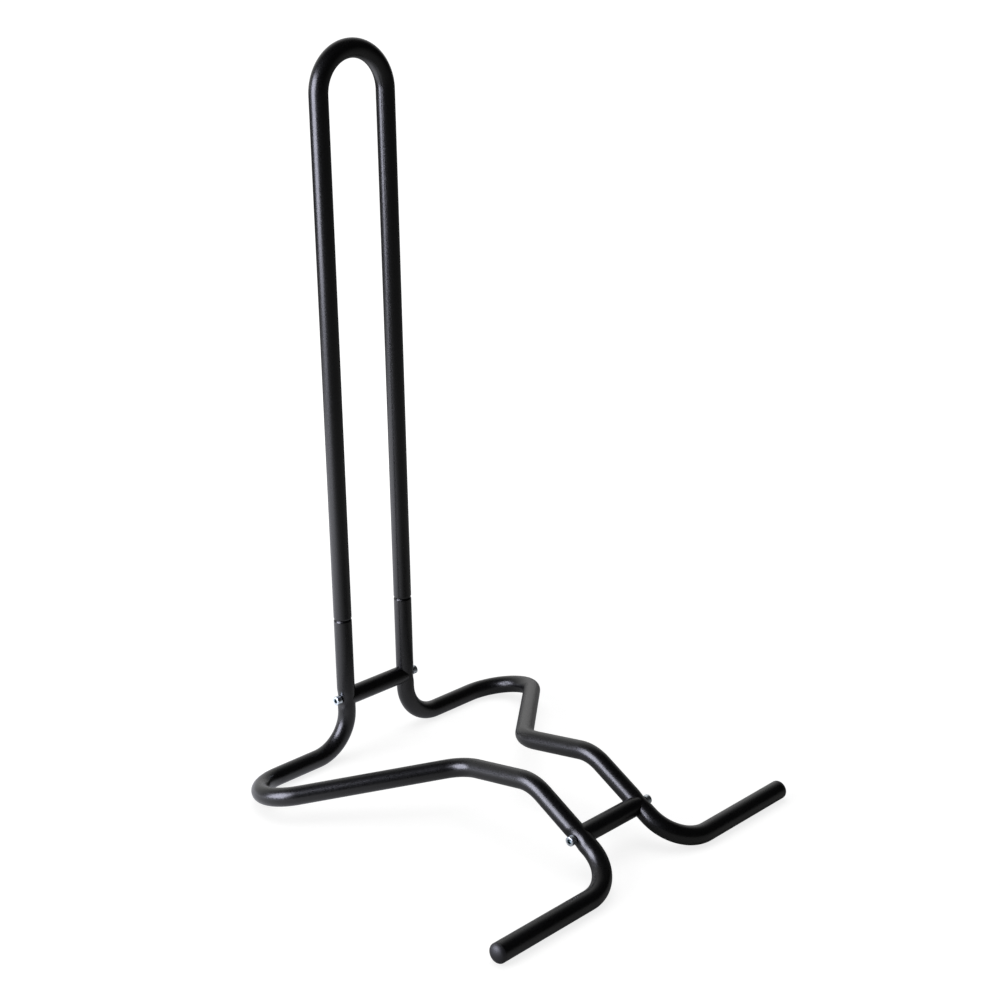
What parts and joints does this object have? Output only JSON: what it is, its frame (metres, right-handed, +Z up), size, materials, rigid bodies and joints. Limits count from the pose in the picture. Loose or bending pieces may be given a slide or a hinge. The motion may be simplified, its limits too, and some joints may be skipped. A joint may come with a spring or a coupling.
{
  "type": "floor bike rack",
  "caption": "Free-standing floor rack of bent black tube: a tall inverted-U hoop plugs into two splayed side frames, and a bicycle wheel rolls into the slot between them.",
  "frame": {"origin": "on the floor, under the middle of the rack's length and width", "axes": "+Z up, +Y from the open front, where the wheel rolls in, towards the hoop at the back, +X to the right as seen from the front"},
  "size_m": [0.432, 0.43, 0.7839],
  "materials": {
    "powder_coat": "satin black powder coat",
    "zinc_plate": "bright zinc plate",
    "plain_steel": "plain turned steel",
    "black_plastic": "moulded black plastic"
  },
  "bodies": {
    "base": {"left_side_frame": "powder_coat", "right_side_frame": "powder_coat", "rear_spacer": "powder_coat", "front_spacer": "powder_coat", "screw_rear_left": "zinc_plate", "screw_rear_right": "zinc_plate", "screw_front_left": "zinc_plate", "screw_front_right": "zinc_plate", "insert_rear_left": "plain_steel", "insert_rear_right": "plain_steel", "insert_front_left": "plain_steel", "insert_front_right": "plain_steel", "foot_cap_left": "black_plastic", "foot_cap_right": "black_plastic"},
    "hoop": {"upper_hoop": "powder_coat"}
  },
  "joints": [
    {"name": "hoop_lift", "type": "slide", "parent": "base", "child": "hoop", "axis": [0, 0, 1], "range_m": [0, 0.045]}
  ]
}
